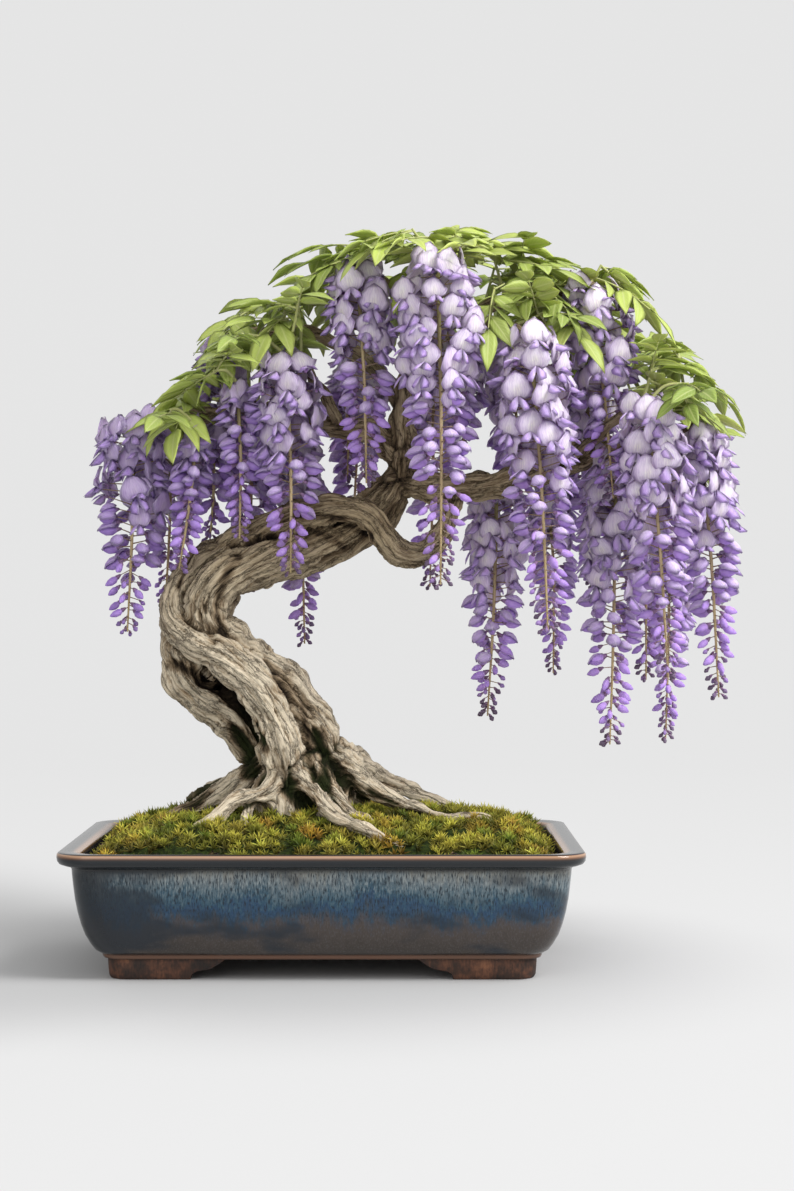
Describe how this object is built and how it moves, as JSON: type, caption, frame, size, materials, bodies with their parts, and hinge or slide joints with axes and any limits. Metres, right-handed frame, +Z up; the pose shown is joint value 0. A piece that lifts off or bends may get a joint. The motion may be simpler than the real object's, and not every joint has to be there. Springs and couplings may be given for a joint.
{
  "type": "wisteria bonsai in a glazed tray",
  "caption": "Leaning, twisted bonsai tree with a domed crown of hanging flower clusters, in a rectangular glazed tray with bracket feet.",
  "frame": {"origin": "on the surface that the tray's feet stand on, under the middle of the whole plant's box", "axes": "+Z up; +X to the long side of the crown, along the tray's long side; -Y to the front"},
  "size_m": [0.5226, 0.3106, 0.5675],
  "materials": {
    "glaze": "gloss",
    "screen": "matte",
    "soil": "matte",
    "moss": "matte",
    "bark": "matte",
    "leaf": "satin",
    "petal": "matte"
  },
  "bodies": {
    "root": {"tray": "glaze", "drain_screen_1": "screen", "drain_screen_2": "screen", "soil": "soil", "moss": "moss", "tree": "bark", "leaf_shoot_01": "leaf", "leaf_shoot_02": "leaf", "leaf_shoot_03": "leaf", "leaf_shoot_04": "leaf", "leaf_shoot_05": "leaf", "leaf_shoot_06": "leaf", "leaf_shoot_07": "leaf", "leaf_shoot_08": "leaf", "leaf_shoot_09": "leaf", "leaf_shoot_10": "leaf", "leaf_shoot_11": "leaf", "leaf_shoot_12": "leaf", "leaf_shoot_13": "leaf", "leaf_shoot_14": "leaf", "leaf_shoot_15": "leaf", "leaf_shoot_16": "leaf", "leaf_shoot_17": "leaf", "leaf_shoot_18": "leaf", "leaf_shoot_19": "leaf", "leaf_shoot_20": "leaf", "leaf_shoot_21": "leaf", "leaf_shoot_22": "leaf", "leaf_shoot_23": "leaf", "leaf_shoot_24": "leaf", "leaf_shoot_25": "leaf", "leaf_shoot_26": "leaf", "flower_cluster_01": "petal", "flower_cluster_02": "petal", "flower_cluster_03": "petal", "flower_cluster_04": "petal", "flower_cluster_05": "petal", "flower_cluster_06": "petal", "flower_cluster_07": "petal", "flower_cluster_08": "petal", "flower_cluster_09": "petal", "flower_cluster_10": "petal", "flower_cluster_11": "petal", "flower_cluster_12": "petal", "flower_cluster_13": "petal", "flower_cluster_14": "petal", "flower_cluster_15": "petal", "flower_cluster_16": "petal", "flower_cluster_17": "petal", "flower_cluster_18": "petal", "flower_cluster_19": "petal", "flower_cluster_20": "petal", "flower_cluster_21": "petal", "flower_cluster_22": "petal", "flower_cluster_23": "petal", "flower_cluster_24": "petal", "flower_cluster_25": "petal", "flower_cluster_26": "petal"}
  },
  "joints": []
}
